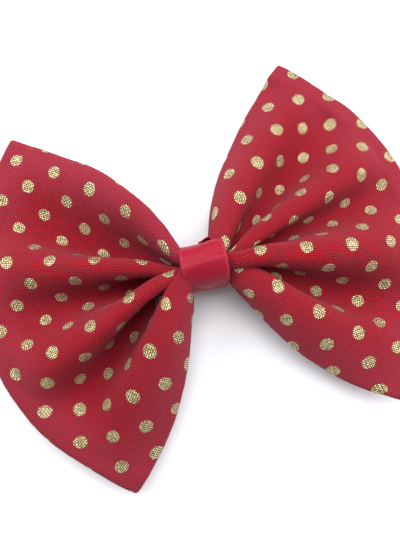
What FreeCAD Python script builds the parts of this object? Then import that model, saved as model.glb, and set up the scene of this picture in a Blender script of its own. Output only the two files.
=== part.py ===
import FreeCAD, Part
import math
import os

V = FreeCAD.Vector

# ---------------------------------------------------------------------------
# Clip-on bow of gathered cotton, lying on its back: X along the bow, Y across
# it, Z out of the front. The origin is under the knot, on the plane it lies on.
# All sizes are in millimetres.
# ---------------------------------------------------------------------------

# Cloth, measured flat before gathering
FLAT_WIDTH = 104.6          # along the bow, edge to edge
FLAT_HEIGHT = 90.6          # across the bow, edge to edge
WAIST_HALF_LENGTH = 4.8     # the stretch of straight pleats inside the ribbon
FAN_DEG_PER_MM = 1.16       # how far a thread line fans out, per mm from the middle

# Pleats: distance of each fold from the middle line of the flat cloth, from the
# lower edge to the upper edge. Edges and valleys lie at the back, ridges at the front.
EDGE = FLAT_HEIGHT / 2
RIDGES = (-36.5, -11.0, 14.0, 39.0)
VALLEYS = (-22.0, 3.0, 27.0)
FOLDS = sorted((-EDGE, EDGE) + RIDGES + VALLEYS)
WAIST_HALF_HEIGHT = 3.8     # the gathered pleats in the knot, across the bow
WAIST_BACK_Z = 7.55
WAIST_FRONT_Z = 14.85
CORNER_Z = 6.0              # the free ends of the folds, middle of the layers
VALLEY_END_Z = 6.0
RIDGE_END_Z = 9.0

# Layers of the cloth, as heights above and below its middle surface
PANEL_THICKNESS = 0.5
PANEL_OFFSET = 0.3
INTERFACING_THICKNESS = 0.4
INTERFACING_INSET = 2.0
SEAM_INSET = 1.0
SEAM_THREAD_RADIUS = 0.1
SEAM_GAP = 0.2              # left at each end of a straight run
SEAM_START = 0.4            # where the modelled seam starts, as a share of a fold's length

# Gathering thread round the waist
GATHER_THREAD_RADIUS = 0.2
GATHER_TURNS = 3
GATHER_PITCH = 0.6
GATHER_HALF_Y = 4.6
GATHER_BOTTOM_Z = 6.4
GATHER_TOP_Z = 15.85
GATHER_CORNER_RADIUS = 1.2

# Centre ribbon
RIBBON_WIDTH = 9.6
RIBBON_THICKNESS = 0.4
RIBBON_INNER_HALF_Y = 4.9
RIBBON_INNER_BOTTOM_Z = 4.1
RIBBON_INNER_TOP_Z = 16.1
RIBBON_CORNER_RADIUS = 1.5
LAP_LENGTH = 6.0
LAP_THICKNESS = 0.3
STITCH_COUNT = 5
STITCH_LENGTH = 0.9
STITCH_RADIUS = 0.15

# Clip under the knot
CLIP_WIDTH = 6.5
CLIP_THICKNESS = 0.7
CLIP_TIP_X = -23.0
CLIP_LEVER_X = 22.0
UPPER_ARM_Z = 4.3           # underside of the upper arm
UPPER_SHOULDER_X = -15.0    # where the upper arm starts down to its tip
UPPER_TIP_FLAT = 2.0
LEVER_BEND_X = 12.0         # where the upper arm's lever end starts to rise
LEVER_RISE = 0.6
JAW_GAP = 0.3
END_RADIUS = 2.0
PIN_X = 9.0
PIN_Z = 2.5
PIN_RADIUS = 0.7
PIN_HEAD_RADIUS = 1.1
PIN_HEAD_LENGTH = 0.3
PIN_CLEARANCE = 0.05
EAR_RADIUS = 1.5
EAR_THICKNESS = 0.6
LOWER_EAR_Y = 1.85          # inner face of the lower arm's ears
SPRING_WIRE_RADIUS = 0.22
SPRING_COIL_RADIUS = 1.15
SPRING_TURNS = 4.5          # a half turn over, so its legs leave above and below
SPRING_LEG_X = 17.0
SPRING_LEG_GAP = 0.06
SPRING_END_GAP = 0.1
GLUE_SIZE = (8.4, 5.6, 1.1)
GLUE_CORNER_RADIUS = 1.0
GLUE_BOTTOM_Z = 5.02


def solid_from_faces(faces):
    shell = Part.Shell(faces)
    shell.sewShape()
    solid = Part.Solid(shell)
    if solid.Volume < 0:
        solid.reverse()
    return solid


def waist_point(fold, side):
    """Where a fold enters the ribbon: the folds stack evenly between its two sides."""
    index = FOLDS.index(fold)
    y = WAIST_HALF_HEIGHT * (2.0 * index / (len(FOLDS) - 1) - 1.0)
    z = WAIST_FRONT_Z if fold in RIDGES else WAIST_BACK_Z
    return V(side * WAIST_HALF_LENGTH, y, z)


def end_point(fold, side):
    """The free end of a fold, at its flat length from the waist."""
    start = waist_point(fold, side)
    z = CORNER_Z
    if fold in RIDGES:
        z = RIDGE_END_Z
    elif fold in VALLEYS:
        z = VALLEY_END_Z
    length = FLAT_WIDTH / 2 - WAIST_HALF_LENGTH
    reach = math.sqrt(length ** 2 - (start.z - z) ** 2)
    turn = math.radians(FAN_DEG_PER_MM * fold)
    return V(start.x + side * reach * math.cos(turn), start.y + reach * math.sin(turn), z)


def fold_line(fold, inset):
    """Four points along a fold: left end, left waist, right waist, right end."""
    length = FLAT_WIDTH / 2 - WAIST_HALF_LENGTH
    part = 1.0 - inset / length
    left_waist, left_end = waist_point(fold, -1), end_point(fold, -1)
    right_waist, right_end = waist_point(fold, 1), end_point(fold, 1)
    return [
        left_waist + (left_end - left_waist) * part,
        left_waist,
        right_waist,
        right_waist + (right_end - right_waist) * part,
    ]


def cloth_lines(inset):
    """All the fold lines, with the first and last moved in from the cloth's edge."""
    lines = [fold_line(fold, inset) for fold in FOLDS]
    low = inset / (FOLDS[1] - FOLDS[0])
    high = inset / (FOLDS[-1] - FOLDS[-2])
    lines[0] = [a + (b - a) * low for a, b in zip(lines[0], lines[1])]
    lines[-1] = [a + (b - a) * high for a, b in zip(lines[-1], lines[-2])]
    return lines


def ruled(a, b, c, d):
    return Part.makeRuledSurface(Part.makeLine(a, b), Part.makeLine(d, c))


def wall(a, b, bottom, top):
    low, high = V(0, 0, bottom), V(0, 0, top)
    return Part.Face(Part.makePolygon([a + low, b + low, b + high, a + high, a + low]))


def pleated_layer(bottom, top, inset=0.0):
    """A closed layer of pleated cloth between two heights off its middle surface."""
    lines = cloth_lines(inset)
    faces = []
    for here, there in zip(lines, lines[1:]):
        for k in range(3):
            for height in (bottom, top):
                lift = V(0, 0, height)
                corners = [here[k], here[k + 1], there[k + 1], there[k]]
                faces.append(ruled(*[p + lift for p in corners]))
        for k in (0, 3):
            faces.append(wall(here[k], there[k], bottom, top))
    for line in (lines[0], lines[-1]):
        for k in range(3):
            faces.append(wall(line[k], line[k + 1], bottom, top))
    return solid_from_faces(faces)


def front_panel():
    return pleated_layer(PANEL_OFFSET, PANEL_OFFSET + PANEL_THICKNESS)


def back_panel():
    return pleated_layer(-PANEL_OFFSET - PANEL_THICKNESS, -PANEL_OFFSET)


def interfacing():
    half = INTERFACING_THICKNESS / 2
    return pleated_layer(-half, half, INTERFACING_INSET)


def stitch(start, end, radius):
    run = end - start
    return Part.makeCylinder(radius, run.Length, start, run)


def edge_seam_thread():
    """The seam that joins the two panels round each wing, between them, a run for each flat of a pleat.

    Nearer the knot than SEAM_START of a fold's length the panels are pressed on it.
    """
    lines = cloth_lines(SEAM_INSET)
    runs = []
    for end, waist in ((0, 1), (3, 2)):
        first, last = [
            line[waist] + (line[end] - line[waist]) * SEAM_START for line in (lines[0], lines[-1])
        ]
        points = [first] + [line[end] for line in lines] + [last]
        for a, b in zip(points, points[1:]):
            gap = (b - a).normalize() * SEAM_GAP
            runs.append(stitch(a + gap, b - gap, SEAM_THREAD_RADIUS))
    return Part.makeCompound(runs)


def rounded_loop(half_y, bottom, top, radius, x):
    """A closed rounded rectangle across the bow at one place along it."""
    prism = Part.makeBox(1, 2 * half_y, top - bottom, V(x, -half_y, bottom))
    along = [e for e in prism.Edges if abs(e.tangentAt(e.FirstParameter).x) > 0.9]
    rounded = prism.makeFillet(radius, along)
    ends = [f for f in rounded.Faces if abs(f.CenterOfMass.x - x) < 1e-6]
    return ends[0].OuterWire


def gather_thread():
    """Turns of thread drawn tight round the pleats."""
    turns = []
    for k in range(GATHER_TURNS):
        x = (k - (GATHER_TURNS - 1) / 2) * GATHER_PITCH
        path = rounded_loop(GATHER_HALF_Y, GATHER_BOTTOM_Z, GATHER_TOP_Z, GATHER_CORNER_RADIUS, x)
        start = path.Edges[0].Vertexes[0].Point
        along = path.Edges[0].tangentAt(path.Edges[0].FirstParameter)
        section = Part.Wire(Part.makeCircle(GATHER_THREAD_RADIUS, start, along))
        turns.append(path.makePipeShell([section], True, False))
    return Part.makeCompound(turns)


def centre_ribbon():
    """The satin ribbon round the waist and the clip's upper arm, lapped at the back."""
    x = -RIBBON_WIDTH / 2
    inner = rounded_loop(
        RIBBON_INNER_HALF_Y,
        RIBBON_INNER_BOTTOM_Z,
        RIBBON_INNER_TOP_Z,
        RIBBON_CORNER_RADIUS,
        x,
    )
    outer = rounded_loop(
        RIBBON_INNER_HALF_Y + RIBBON_THICKNESS,
        RIBBON_INNER_BOTTOM_Z - RIBBON_THICKNESS,
        RIBBON_INNER_TOP_Z + RIBBON_THICKNESS,
        RIBBON_CORNER_RADIUS + RIBBON_THICKNESS,
        x,
    )
    along = V(RIBBON_WIDTH, 0, 0)
    band = Part.Face(outer).extrude(along).cut(Part.Face(inner).extrude(along))
    lap_bottom = RIBBON_INNER_BOTTOM_Z - RIBBON_THICKNESS - LAP_THICKNESS
    lap = Part.makeBox(RIBBON_WIDTH, LAP_LENGTH, LAP_THICKNESS, V(x, -LAP_LENGTH / 2, lap_bottom))
    return band.fuse(lap).removeSplitter()


def ribbon_stitches():
    """Small stitches across the lapped end of the ribbon."""
    lap_bottom = RIBBON_INNER_BOTTOM_Z - RIBBON_THICKNESS - LAP_THICKNESS
    z = lap_bottom - STITCH_RADIUS
    spacing = RIBBON_WIDTH / (STITCH_COUNT + 1)
    stitches = []
    for k in range(1, STITCH_COUNT + 1):
        end = V(-RIBBON_WIDTH / 2 + k * spacing, LAP_LENGTH / 2 - STITCH_RADIUS, z)
        start = end - V(0, STITCH_LENGTH, 0)
        stitches.append(stitch(start, end, STITCH_RADIUS))
    return Part.makeCompound(stitches)


def glue_pad():
    """Set glue between the pleats and the clip's upper arm."""
    length, width, height = GLUE_SIZE
    pad = Part.makeBox(length, width, height, V(-length / 2, -width / 2, GLUE_BOTTOM_Z))
    upright = [e for e in pad.Edges if abs(e.tangentAt(e.FirstParameter).z) > 0.9]
    return pad.makeFillet(GLUE_CORNER_RADIUS, upright)


def arm_from_profile(points):
    """A strip bent to a side profile and cut to the clip's width, round at its ends."""
    outline = Part.makePolygon([V(x, -CLIP_WIDTH / 2, z) for x, z in points + points[:1]])
    strip = Part.Face(Part.Wire(outline.Edges)).extrude(V(0, CLIP_WIDTH, 0))
    length = CLIP_LEVER_X - CLIP_TIP_X
    plan = Part.makeBox(length, CLIP_WIDTH, 30, V(CLIP_TIP_X, -CLIP_WIDTH / 2, -10))
    corners = [e for e in plan.Edges if abs(e.tangentAt(e.FirstParameter).z) > 0.9]
    return strip.common(plan.makeFillet(END_RADIUS, corners))


def ears(inner_y, plate_z):
    """A pair of ears on an arm, round about the pin."""
    result = []
    for side in (-1, 1):
        y = inner_y if side > 0 else -inner_y - EAR_THICKNESS
        disc = Part.makeCylinder(EAR_RADIUS, EAR_THICKNESS, V(PIN_X, y, PIN_Z), V(0, 1, 0))
        height = abs(plate_z - PIN_Z)
        bottom = min(plate_z, PIN_Z)
        web = Part.makeBox(2 * EAR_RADIUS, EAR_THICKNESS, height, V(PIN_X - EAR_RADIUS, y, bottom))
        result.append(disc.fuse(web))
    return result


def pin_hole(radius):
    return Part.makeCylinder(radius, CLIP_WIDTH + 2, V(PIN_X, -CLIP_WIDTH / 2 - 1, PIN_Z), V(0, 1, 0))


def clip_upper_arm():
    """The arm that the ribbon holds; its tip bends down to the lower arm."""
    low, high = UPPER_ARM_Z, UPPER_ARM_Z + CLIP_THICKNESS
    tip_low = CLIP_THICKNESS + JAW_GAP
    tip_high = tip_low + CLIP_THICKNESS
    profile = [
        (CLIP_TIP_X, tip_low), (CLIP_TIP_X + UPPER_TIP_FLAT, tip_low), (UPPER_SHOULDER_X, low),
        (LEVER_BEND_X, low), (CLIP_LEVER_X, low + LEVER_RISE), (CLIP_LEVER_X, high + LEVER_RISE),
        (LEVER_BEND_X, high), (UPPER_SHOULDER_X, high),
        (CLIP_TIP_X + UPPER_TIP_FLAT, tip_high), (CLIP_TIP_X, tip_high),
    ]
    arm = arm_from_profile(profile)
    for ear in ears(CLIP_WIDTH / 2 - EAR_THICKNESS, low):
        arm = arm.fuse(ear)
    return arm.cut(pin_hole(PIN_RADIUS)).removeSplitter()


def clip_lower_arm():
    """The flat arm that swings; its underside is the face the bow rests on."""
    profile = [
        (CLIP_TIP_X, 0), (CLIP_LEVER_X, 0),
        (CLIP_LEVER_X, CLIP_THICKNESS), (CLIP_TIP_X, CLIP_THICKNESS),
    ]
    arm = arm_from_profile(profile)
    for ear in ears(LOWER_EAR_Y, CLIP_THICKNESS):
        arm = arm.fuse(ear)
    return arm.cut(pin_hole(PIN_RADIUS + PIN_CLEARANCE)).removeSplitter()


def clip_pin():
    """The rivet through the four ears, headed at both ends."""
    half = CLIP_WIDTH / 2
    pin = Part.makeCylinder(PIN_RADIUS, CLIP_WIDTH, V(PIN_X, -half, PIN_Z), V(0, 1, 0))
    for y in (-half - PIN_HEAD_LENGTH, half):
        head = Part.makeCylinder(PIN_HEAD_RADIUS, PIN_HEAD_LENGTH, V(PIN_X, y, PIN_Z), V(0, 1, 0))
        pin = pin.fuse(head)
    return pin.removeSplitter()


def clip_spring():
    """A torsion spring round the pin, with a leg against each arm's lever end."""
    wire = SPRING_WIRE_RADIUS
    length = 2 * (LOWER_EAR_Y - wire - SPRING_END_GAP)
    helix = Part.makeHelix(length / SPRING_TURNS, length, SPRING_COIL_RADIUS)
    section = Part.Wire(Part.makeCircle(wire, V(SPRING_COIL_RADIUS, 0, 0), V(0, 1, 0)))
    spring = Part.Wire(helix.Edges).makePipeShell([section], True, True)
    spring.rotate(V(0, 0, 0), V(1, 0, 0), -90)
    spring.rotate(V(0, 0, 0), V(0, 1, 0), 90)
    spring.translate(V(PIN_X, -length / 2, PIN_Z))
    lower_end = V(SPRING_LEG_X, -length / 2, CLIP_THICKNESS + SPRING_LEG_GAP + wire)
    rise = LEVER_RISE * (SPRING_LEG_X - LEVER_BEND_X) / (CLIP_LEVER_X - LEVER_BEND_X)
    upper_end = V(SPRING_LEG_X, length / 2, UPPER_ARM_Z + rise - SPRING_LEG_GAP - wire)
    legs = []
    for end, side in ((lower_end, -1), (upper_end, 1)):
        start = V(PIN_X + SPRING_END_GAP, end.y, PIN_Z + side * SPRING_COIL_RADIUS)
        legs.append(stitch(start, end, wire))
    return Part.makeCompound([spring] + legs)


MODEL = (
    front_panel,
    back_panel,
    interfacing,
    edge_seam_thread,
    gather_thread,
    centre_ribbon,
    ribbon_stitches,
    glue_pad,
    clip_upper_arm,
    clip_lower_arm,
    clip_pin,
    clip_spring,
)

os.makedirs("parts", exist_ok=True)
for make in MODEL:
    make().exportStep("parts/" + make.__name__ + ".step")
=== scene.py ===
import math

import bpy
import numpy as np
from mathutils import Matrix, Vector

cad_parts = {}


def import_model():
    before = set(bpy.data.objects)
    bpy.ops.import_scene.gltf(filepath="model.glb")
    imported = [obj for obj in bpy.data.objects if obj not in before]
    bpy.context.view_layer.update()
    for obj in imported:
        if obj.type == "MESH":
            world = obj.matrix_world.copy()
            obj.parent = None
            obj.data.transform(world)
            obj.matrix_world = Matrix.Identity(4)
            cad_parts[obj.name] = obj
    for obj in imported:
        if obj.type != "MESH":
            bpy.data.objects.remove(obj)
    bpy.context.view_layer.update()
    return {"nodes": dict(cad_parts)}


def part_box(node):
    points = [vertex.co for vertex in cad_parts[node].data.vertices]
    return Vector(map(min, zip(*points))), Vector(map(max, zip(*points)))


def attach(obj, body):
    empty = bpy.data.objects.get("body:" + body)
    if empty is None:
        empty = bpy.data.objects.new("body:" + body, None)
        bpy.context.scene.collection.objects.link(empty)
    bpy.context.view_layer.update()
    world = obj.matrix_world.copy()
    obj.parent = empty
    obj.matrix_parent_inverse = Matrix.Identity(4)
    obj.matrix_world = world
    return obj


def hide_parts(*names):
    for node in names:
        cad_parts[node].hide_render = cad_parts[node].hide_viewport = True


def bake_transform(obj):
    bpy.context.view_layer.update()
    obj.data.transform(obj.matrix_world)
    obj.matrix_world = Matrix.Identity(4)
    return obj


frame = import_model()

# Lengths are in millimetres until a mesh, light or camera is made.
MM = 0.001

# ---------------------------------------------------------------------------
# The cloth: U runs along the bow and V across it, measured on the flat cloth.
# ---------------------------------------------------------------------------
HALF_LENGTH = 52.3
HALF_HEIGHT = 45.3
WAIST = 4.8                  # half length of the straight pleats in the knot
WAIST_Y = 3.6                # half width of the gathered cloth in the knot
WAIST_Z = 11.2               # middle height of the pleats in the knot
CLOTH_SHIFT_Y = 1.2          # the wings sit a little towards the upper edge
REACH = HALF_LENGTH - WAIST
ROW_STEP = 0.6
CORNER_ROUND = 0.9
PANEL_IN = 0.16              # panels' inner and outer faces, off the middle surface
PANEL_OUT = 0.46
RIM_IN = 0.005               # the same two at the cloth's edge, where the panels meet
RIM_OUT = 0.02
LINING_HALF = 0.12
LINING_INSET = 2.0
EDGE_ROLL = 1.0              # width of the rounded edge

# Each wing: where its folds lie on V and how strongly each flat between folds tips. Its upper
# and lower edges, seen from the front, are curves from a start, pulled towards a bend, to an end,
# and middle is where its middle line ends. The heights mid_z and end_z, the tilt across it and
# the bow of its outer edge shape it in Z. X is outwards from the knot in both wings.
# These values are the rounded result of a least-squares fit to the dots and the outline measured in
# the photo, with the edge curves changed by hand afterwards. report.md gives this as an open point.
LEFT = dict(
    folds=(-35.2, -22.1, -11.2, 2.6, 13.9, 25.9, 43.9),
    tips=(0.64, 0.79, 1.42, 0.94, 1.07, 1.11, 0.61, 0.97),
    upper=((4.7, 3.7), (13.0, 25.3), (34.2, 40.4)),
    lower=((4.8, 3.6), (8.0, 27.4), (27.6, 43.0)),
    middle=(51.3, -0.4),
    mid_z=8.8, end_z=7.0, tilt=2.0, bow=0.1,
)
RIGHT = dict(
    folds=(-34.6, -24.3, -10.4, 3.9, 12.7, 27.1, 36.1),
    tips=(0.76, 1.08, 1.19, 1.0, 1.41, 1.0, 0.72, 0.67),
    upper=((2.2, 4.2), (11.6, 26.6), (32.4, 41.4)),
    lower=((4.2, 3.9), (10.0, 28.8), (31.7, 42.4)),
    middle=(51.5, 0.0),
    mid_z=9.3, end_z=7.6, tilt=0.5, bow=-0.4,
)
MAX_TURN = 2.0               # how far a flat can fold back under the next, in radians
WAIST_PLEAT = 4.0            # half depth of the pleats in the knot
OPEN_PLEAT = 6.4             # half depth they may open to, away from the knot
OPENING = 7.0                # over this length
KNOT_HOLD = 6.0              # how far out the knot's round section shapes the pleats
CROWN_GAP = 0.8              # from the ribbon's inner face down to the middle of the top pleat
EDGE_WAVE = 0.14             # unevenness of the sewn edges
SCALLOP = 0.5                # the outer edge stands out at its corners and draws in beside them
SCALLOP_HALF = 13.0          # from the corner to where it draws in most
SCALLOP_FADE = 18.0

V_LINE = np.linspace(-HALF_HEIGHT, HALF_HEIGHT, 241)
ROWS = np.linspace(0, REACH, 96)


def running_sum(values, step):
    """The area under the values up to each of them, starting at 0."""
    return np.concatenate([[0], np.cumsum((values[1:] + values[:-1]) / 2) * step])


def lerp(a, b, t):
    """From a at t = 0 to b at t = 1."""
    return a + (b - a) * t


def smooth(x, low=0.0, high=1.0):
    """0 below low, 1 above high, smooth between."""
    t = np.clip((x - low) / (high - low), 0, 1)
    return t * t * (3 - 2 * t)


def value_noise(x, y, seed):
    """Smooth noise from -1 to 1 with a feature size of one unit."""
    table = np.random.default_rng(seed).uniform(-1, 1, (64, 64))
    xi, yi = np.floor(x).astype(int), np.floor(y).astype(int)
    tx, ty = smooth(x - xi), smooth(y - yi)
    corner = lambda i, j: table[(xi + i) % 64, (yi + j) % 64]
    low = lerp(corner(0, 0), corner(1, 0), tx)
    high = lerp(corner(0, 1), corner(1, 1), tx)
    return lerp(low, high, ty)


# The ribbon's inner section: a rounded shape, fuller towards the upper edge than the lower.
KNOT_Z = 10.0                # height of its middle
KNOT_SHIFT_Y = -0.8
KNOT_HALF_Y = 4.45
KNOT_BACK_Y = 4.8            # its half width at the back, where the clip lies inside it
KNOT_HALF_Z = 6.1            # from its middle to its front and to its back
FRONT_UPPER, FRONT_LOWER, BACK = 3.1, 2.0, 5.0     # how square each part is


def knot_height(y):
    """The knot's front height over its middle, as a share, at y as a share of its half width."""
    power = np.where(y > 0, FRONT_UPPER, FRONT_LOWER)
    return (1 - np.clip(np.abs(y), 0, 0.999) ** power) ** (1 / power)


def pleat_wave(wing):
    """How the cloth tips along V, as a wave that swings between the folds."""
    borders = np.concatenate([[-HALF_HEIGHT], wing["folds"], [HALF_HEIGHT]])
    wave = np.zeros_like(V_LINE)
    last = len(wing["tips"]) - 1
    for i, tip in enumerate(wing["tips"]):
        inside = (V_LINE >= borders[i]) & (V_LINE <= borders[i + 1])
        t = (V_LINE[inside] - borders[i]) / (borders[i + 1] - borders[i])
        if i == 0:
            swing = np.cos(math.pi / 2 * t)
        elif i == last:
            swing = np.sin(math.pi / 2 * t)
        else:
            swing = np.sin(math.pi * t)
        wave[inside] = (-1) ** i * tip * swing
    return wave


def curve(start, bend, end, t):
    """A quadratic curve from start, pulled towards bend, to end."""
    return (1 - t) ** 2 * np.array(start) + 2 * t * (1 - t) * np.array(bend) + t ** 2 * np.array(end)


def wing_surface(wing):
    """Middle surface of one wing, with x outwards: an array of rows, V points and xyz.

    Each row keeps the cloth's width: the more the wing narrows, the more its flats tip.
    """
    wave = pleat_wave(wing)
    turn = lambda strength: MAX_TURN * np.tanh(strength * wave / MAX_TURN)
    strengths = np.linspace(0, 6, 121)
    widths = np.array([np.cos(turn(s)).mean() for s in strengths])
    narrowest = widths.argmin()
    step = V_LINE[1] - V_LINE[0]
    surface = np.zeros((len(ROWS), len(V_LINE), 3))
    for i, row in enumerate(ROWS):
        t = row / REACH
        top = curve(*wing["upper"], t)
        low = curve(*wing["lower"], t) * (1, -1)
        middle = np.array([lerp(WAIST, wing["middle"][0], t), wing["middle"][1] * t])
        chord = top - low
        length = np.hypot(*chord)
        along = chord / length
        out = np.array([along[1], -along[0]])
        centre = (top + low) / 2
        sag = max((middle - centre) @ out, 1e-3)
        radius = (length ** 2 / 4 + sag ** 2) / (2 * sag)
        half_angle = 2 * math.atan(2 * sag / length)
        gathered = radius * half_angle / HALF_HEIGHT
        strength = np.interp(-gathered, -widths[:narrowest], strengths[:narrowest])
        width = running_sum(np.cos(turn(strength)), step)
        across = width / width[-1] * 2 - 1
        depth = running_sum(np.sin(turn(strength)), step)
        depth -= (depth.max() + depth.min()) / 2
        limit = WAIST_PLEAT + (OPEN_PLEAT - WAIST_PLEAT) * (1 - math.exp(-row / OPENING))
        depth *= min(1.0, limit / max(depth.max(), 1e-6))
        angle = half_angle * across[:, None]
        plan = centre + out * (sag - radius) + radius * (np.cos(angle) * out + np.sin(angle) * along)
        height = (1 - t) ** 2 * WAIST_Z + 2 * t * (1 - t) * wing["mid_z"] + t ** 2 * wing["end_z"]
        height += t * (wing["tilt"] * across + wing["bow"] * (across ** 2 - 0.33))
        bottom = WAIST_Z - WAIST_PLEAT
        crown = KNOT_Z + KNOT_HALF_Z * knot_height(across * WAIST_Y / KNOT_HALF_Y) - CROWN_GAP
        squeeze = (crown - bottom) / (2 * WAIST_PLEAT)
        hold = math.exp(-(row / KNOT_HOLD) ** 2)
        surface[i, :, :2] = plan + (0, CLOTH_SHIFT_Y * (1 - hold) + KNOT_SHIFT_Y * hold)
        surface[i, :, 2] = lerp(height + depth, bottom + (height + depth - bottom) * squeeze, hold)
    return surface


def middle_surface():
    """The whole cloth on an even grid of U and V."""
    left = wing_surface(LEFT) * (-1, 1, 1)
    right = wing_surface(RIGHT)
    share = np.linspace(0, 1, 17)[1:-1, None, None]
    waist = lerp(left[0], right[0], share)
    u = np.concatenate([-WAIST - ROWS[::-1], lerp(-WAIST, WAIST, share[:, 0, 0]), WAIST + ROWS])
    return u, np.concatenate([left[::-1], waist, right])


def flat_grid(inset=0.0):
    """Flat places of a grid over the cloth, with its corners rounded."""
    half_u, half_v = HALF_LENGTH - inset, HALF_HEIGHT - inset
    u, v = np.meshgrid(
        np.linspace(-half_u, half_u, 2 * round(half_u / ROW_STEP) + 1),
        np.linspace(-half_v, half_v, 2 * round(half_v / ROW_STEP) + 1),
        indexing="ij",
    )
    a = np.clip(np.abs(u) - half_u + CORNER_ROUND, 0, None) / CORNER_ROUND
    b = np.clip(np.abs(v) - half_v + CORNER_ROUND, 0, None) / CORNER_ROUND
    new_a = a * np.sqrt(1 - b ** 2 / 2)
    new_b = b * np.sqrt(1 - a ** 2 / 2)
    u = u - np.sign(u) * (a - new_a) * CORNER_ROUND
    v = v - np.sign(v) * (b - new_b) * CORNER_ROUND
    return u, v


def edge_distance(u, v):
    """How far a flat place lies from the nearest edge of the cloth."""
    return np.minimum(HALF_LENGTH - np.abs(u), HALF_HEIGHT - np.abs(v))


PULL_LIFT = 0.38             # pull lines that run out of the knot
FINE_PULL_LIFT = 0.16        # narrower ones between them
PULL_REACH = 11.0
BROAD_LIFT = 0.45            # broad soft swells of the wings
SMALL_LIFT = 0.09            # small dents
PUCKER_LIFT = 0.09           # puckers along the seam
PUCKER_REACH = 2.2


def creases(u, v):
    """How far small wrinkles lift the cloth off its middle surface."""
    away = np.clip(np.abs(u) - WAIST, 0, None)
    near_knot = np.exp(-away / PULL_REACH) * smooth(away, 0, 4)
    pulls = value_noise(v / 2.6 + 5, u / 14 + 9, 3) * near_knot * PULL_LIFT
    pulls += value_noise(v / 1.4, u / 9, 4) * near_knot * FINE_PULL_LIFT
    broad = value_noise(u / 15 + 3, v / 11 + 7, 5) * smooth(away, 2, 18) * BROAD_LIFT
    small = value_noise(u / 5.5, v / 4.5, 6) * smooth(away, 2, 10) * SMALL_LIFT
    near_edge = np.exp(-edge_distance(u, v) / PUCKER_REACH) * smooth(away, 0, 6)
    pucker = value_noise((u + v) / 2.1, (u - v) / 2.1, 7) * near_edge * PUCKER_LIFT
    return pulls + broad + small + pucker


def grid_normals(points):
    """Unit normals of a grid of points, on the front side."""
    normal = np.cross(np.gradient(points, axis=0), np.gradient(points, axis=1))
    return normal / np.maximum(np.linalg.norm(normal, axis=2, keepdims=True), 1e-9)


def creased_surface():
    """The middle surface with its wrinkles and its slightly uneven edges."""
    line, plain = middle_surface()
    u, v = np.meshgrid(line, V_LINE, indexing="ij")
    near_side = smooth(np.abs(v), 38, HALF_HEIGHT) * smooth(np.abs(u), 8, 16)
    near_end = smooth(np.abs(u), 40, HALF_LENGTH)
    draw_v = value_noise(u / 7, v * 0 + 2, 11) * EDGE_WAVE * near_side
    draw_u = value_noise(v / 8, u * 0 + 4, 12) * EDGE_WAVE
    from_corner = HALF_HEIGHT - np.abs(v)
    fade = np.exp(-(from_corner / SCALLOP_FADE) ** 2)
    draw_u += SCALLOP * np.cos(math.pi * from_corner / SCALLOP_HALF) * fade
    draw_u *= near_end * np.sign(u)
    normals = grid_normals(plain)
    across = np.gradient(plain, axis=1) / np.gradient(V_LINE)[None, :, None]
    along = np.gradient(plain, axis=0) / np.gradient(line)[:, None, None]
    plain = plain + across * draw_v[..., None] + along * draw_u[..., None]
    return line, plain + normals * creases(u, v)[..., None]


SURFACE_U, SURFACE = creased_surface()
NORMALS = grid_normals(SURFACE)


def on_surface(u, v, grid):
    """Values of a grid over the flat cloth, at flat places u, v."""
    fu = np.interp(u, SURFACE_U, np.arange(len(SURFACE_U)))
    fv = (v + HALF_HEIGHT) / (2 * HALF_HEIGHT) * (len(V_LINE) - 1)
    i = np.clip(fu.astype(int), 0, len(SURFACE_U) - 2)
    j = np.clip(fv.astype(int), 0, len(V_LINE) - 2)
    a, b = (fu - i)[..., None], (fv - j)[..., None]
    low = lerp(grid[i, j], grid[i + 1, j], a)
    high = lerp(grid[i, j + 1], grid[i + 1, j + 1], a)
    return lerp(low, high, b)


def cloth_faces(u, v):
    """Points of the creased middle surface and the normals there."""
    return on_surface(u, v, SURFACE), on_surface(u, v, NORMALS)


# ---------------------------------------------------------------------------
# Mesh helpers
# ---------------------------------------------------------------------------
def grid_quads(rows, columns, start=0, flip=False):
    """The four-sided faces of a grid of points that are numbered from start."""
    i, j = np.meshgrid(np.arange(rows - 1), np.arange(columns - 1), indexing="ij")
    a = (start + i * columns + j).ravel()
    quads = np.stack([a, a + columns, a + columns + 1, a + 1], axis=1)
    return quads[:, ::-1] if flip else quads


def make_mesh(name, points, faces, material, flat=None):
    """A smooth-shaded object from points in millimetres.

    flat is each point's place on the flat cloth, in millimetres too.
    """
    mesh = bpy.data.meshes.new(name)
    mesh.from_pydata((np.asarray(points) * MM).tolist(), [], [list(map(int, f)) for f in faces])
    if flat is not None:
        layer = mesh.uv_layers.new(name="flat")
        corners = np.zeros(len(mesh.loops), np.int32)
        mesh.loops.foreach_get("vertex_index", corners)
        layer.data.foreach_set("uv", np.asarray(flat, np.float32)[corners].ravel())
    mesh.polygons.foreach_set("use_smooth", [True] * len(mesh.polygons))
    mesh.update()
    piece = bpy.data.objects.new(name, mesh)
    bpy.context.scene.collection.objects.link(piece)
    mesh.materials.append(material)
    return piece


def closed_sheet(name, front, back, flat, material):
    """A closed sheet between two grids of points."""
    rows, columns = front.shape[:2]
    count = rows * columns
    points = np.concatenate([front.reshape(-1, 3), back.reshape(-1, 3)])
    places = np.concatenate([flat.reshape(-1, 2)] * 2)
    faces = [grid_quads(rows, columns), grid_quads(rows, columns, count, flip=True)]
    index = np.arange(count).reshape(rows, columns)
    rim = np.concatenate([index[:-1, 0], index[-1, :-1], index[:0:-1, -1], index[0, :0:-1]])
    nxt = np.roll(rim, -1)
    faces.append(np.stack([rim, rim + count, nxt + count, nxt], axis=1))
    return make_mesh(name, points, np.concatenate(faces), material, places)


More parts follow.
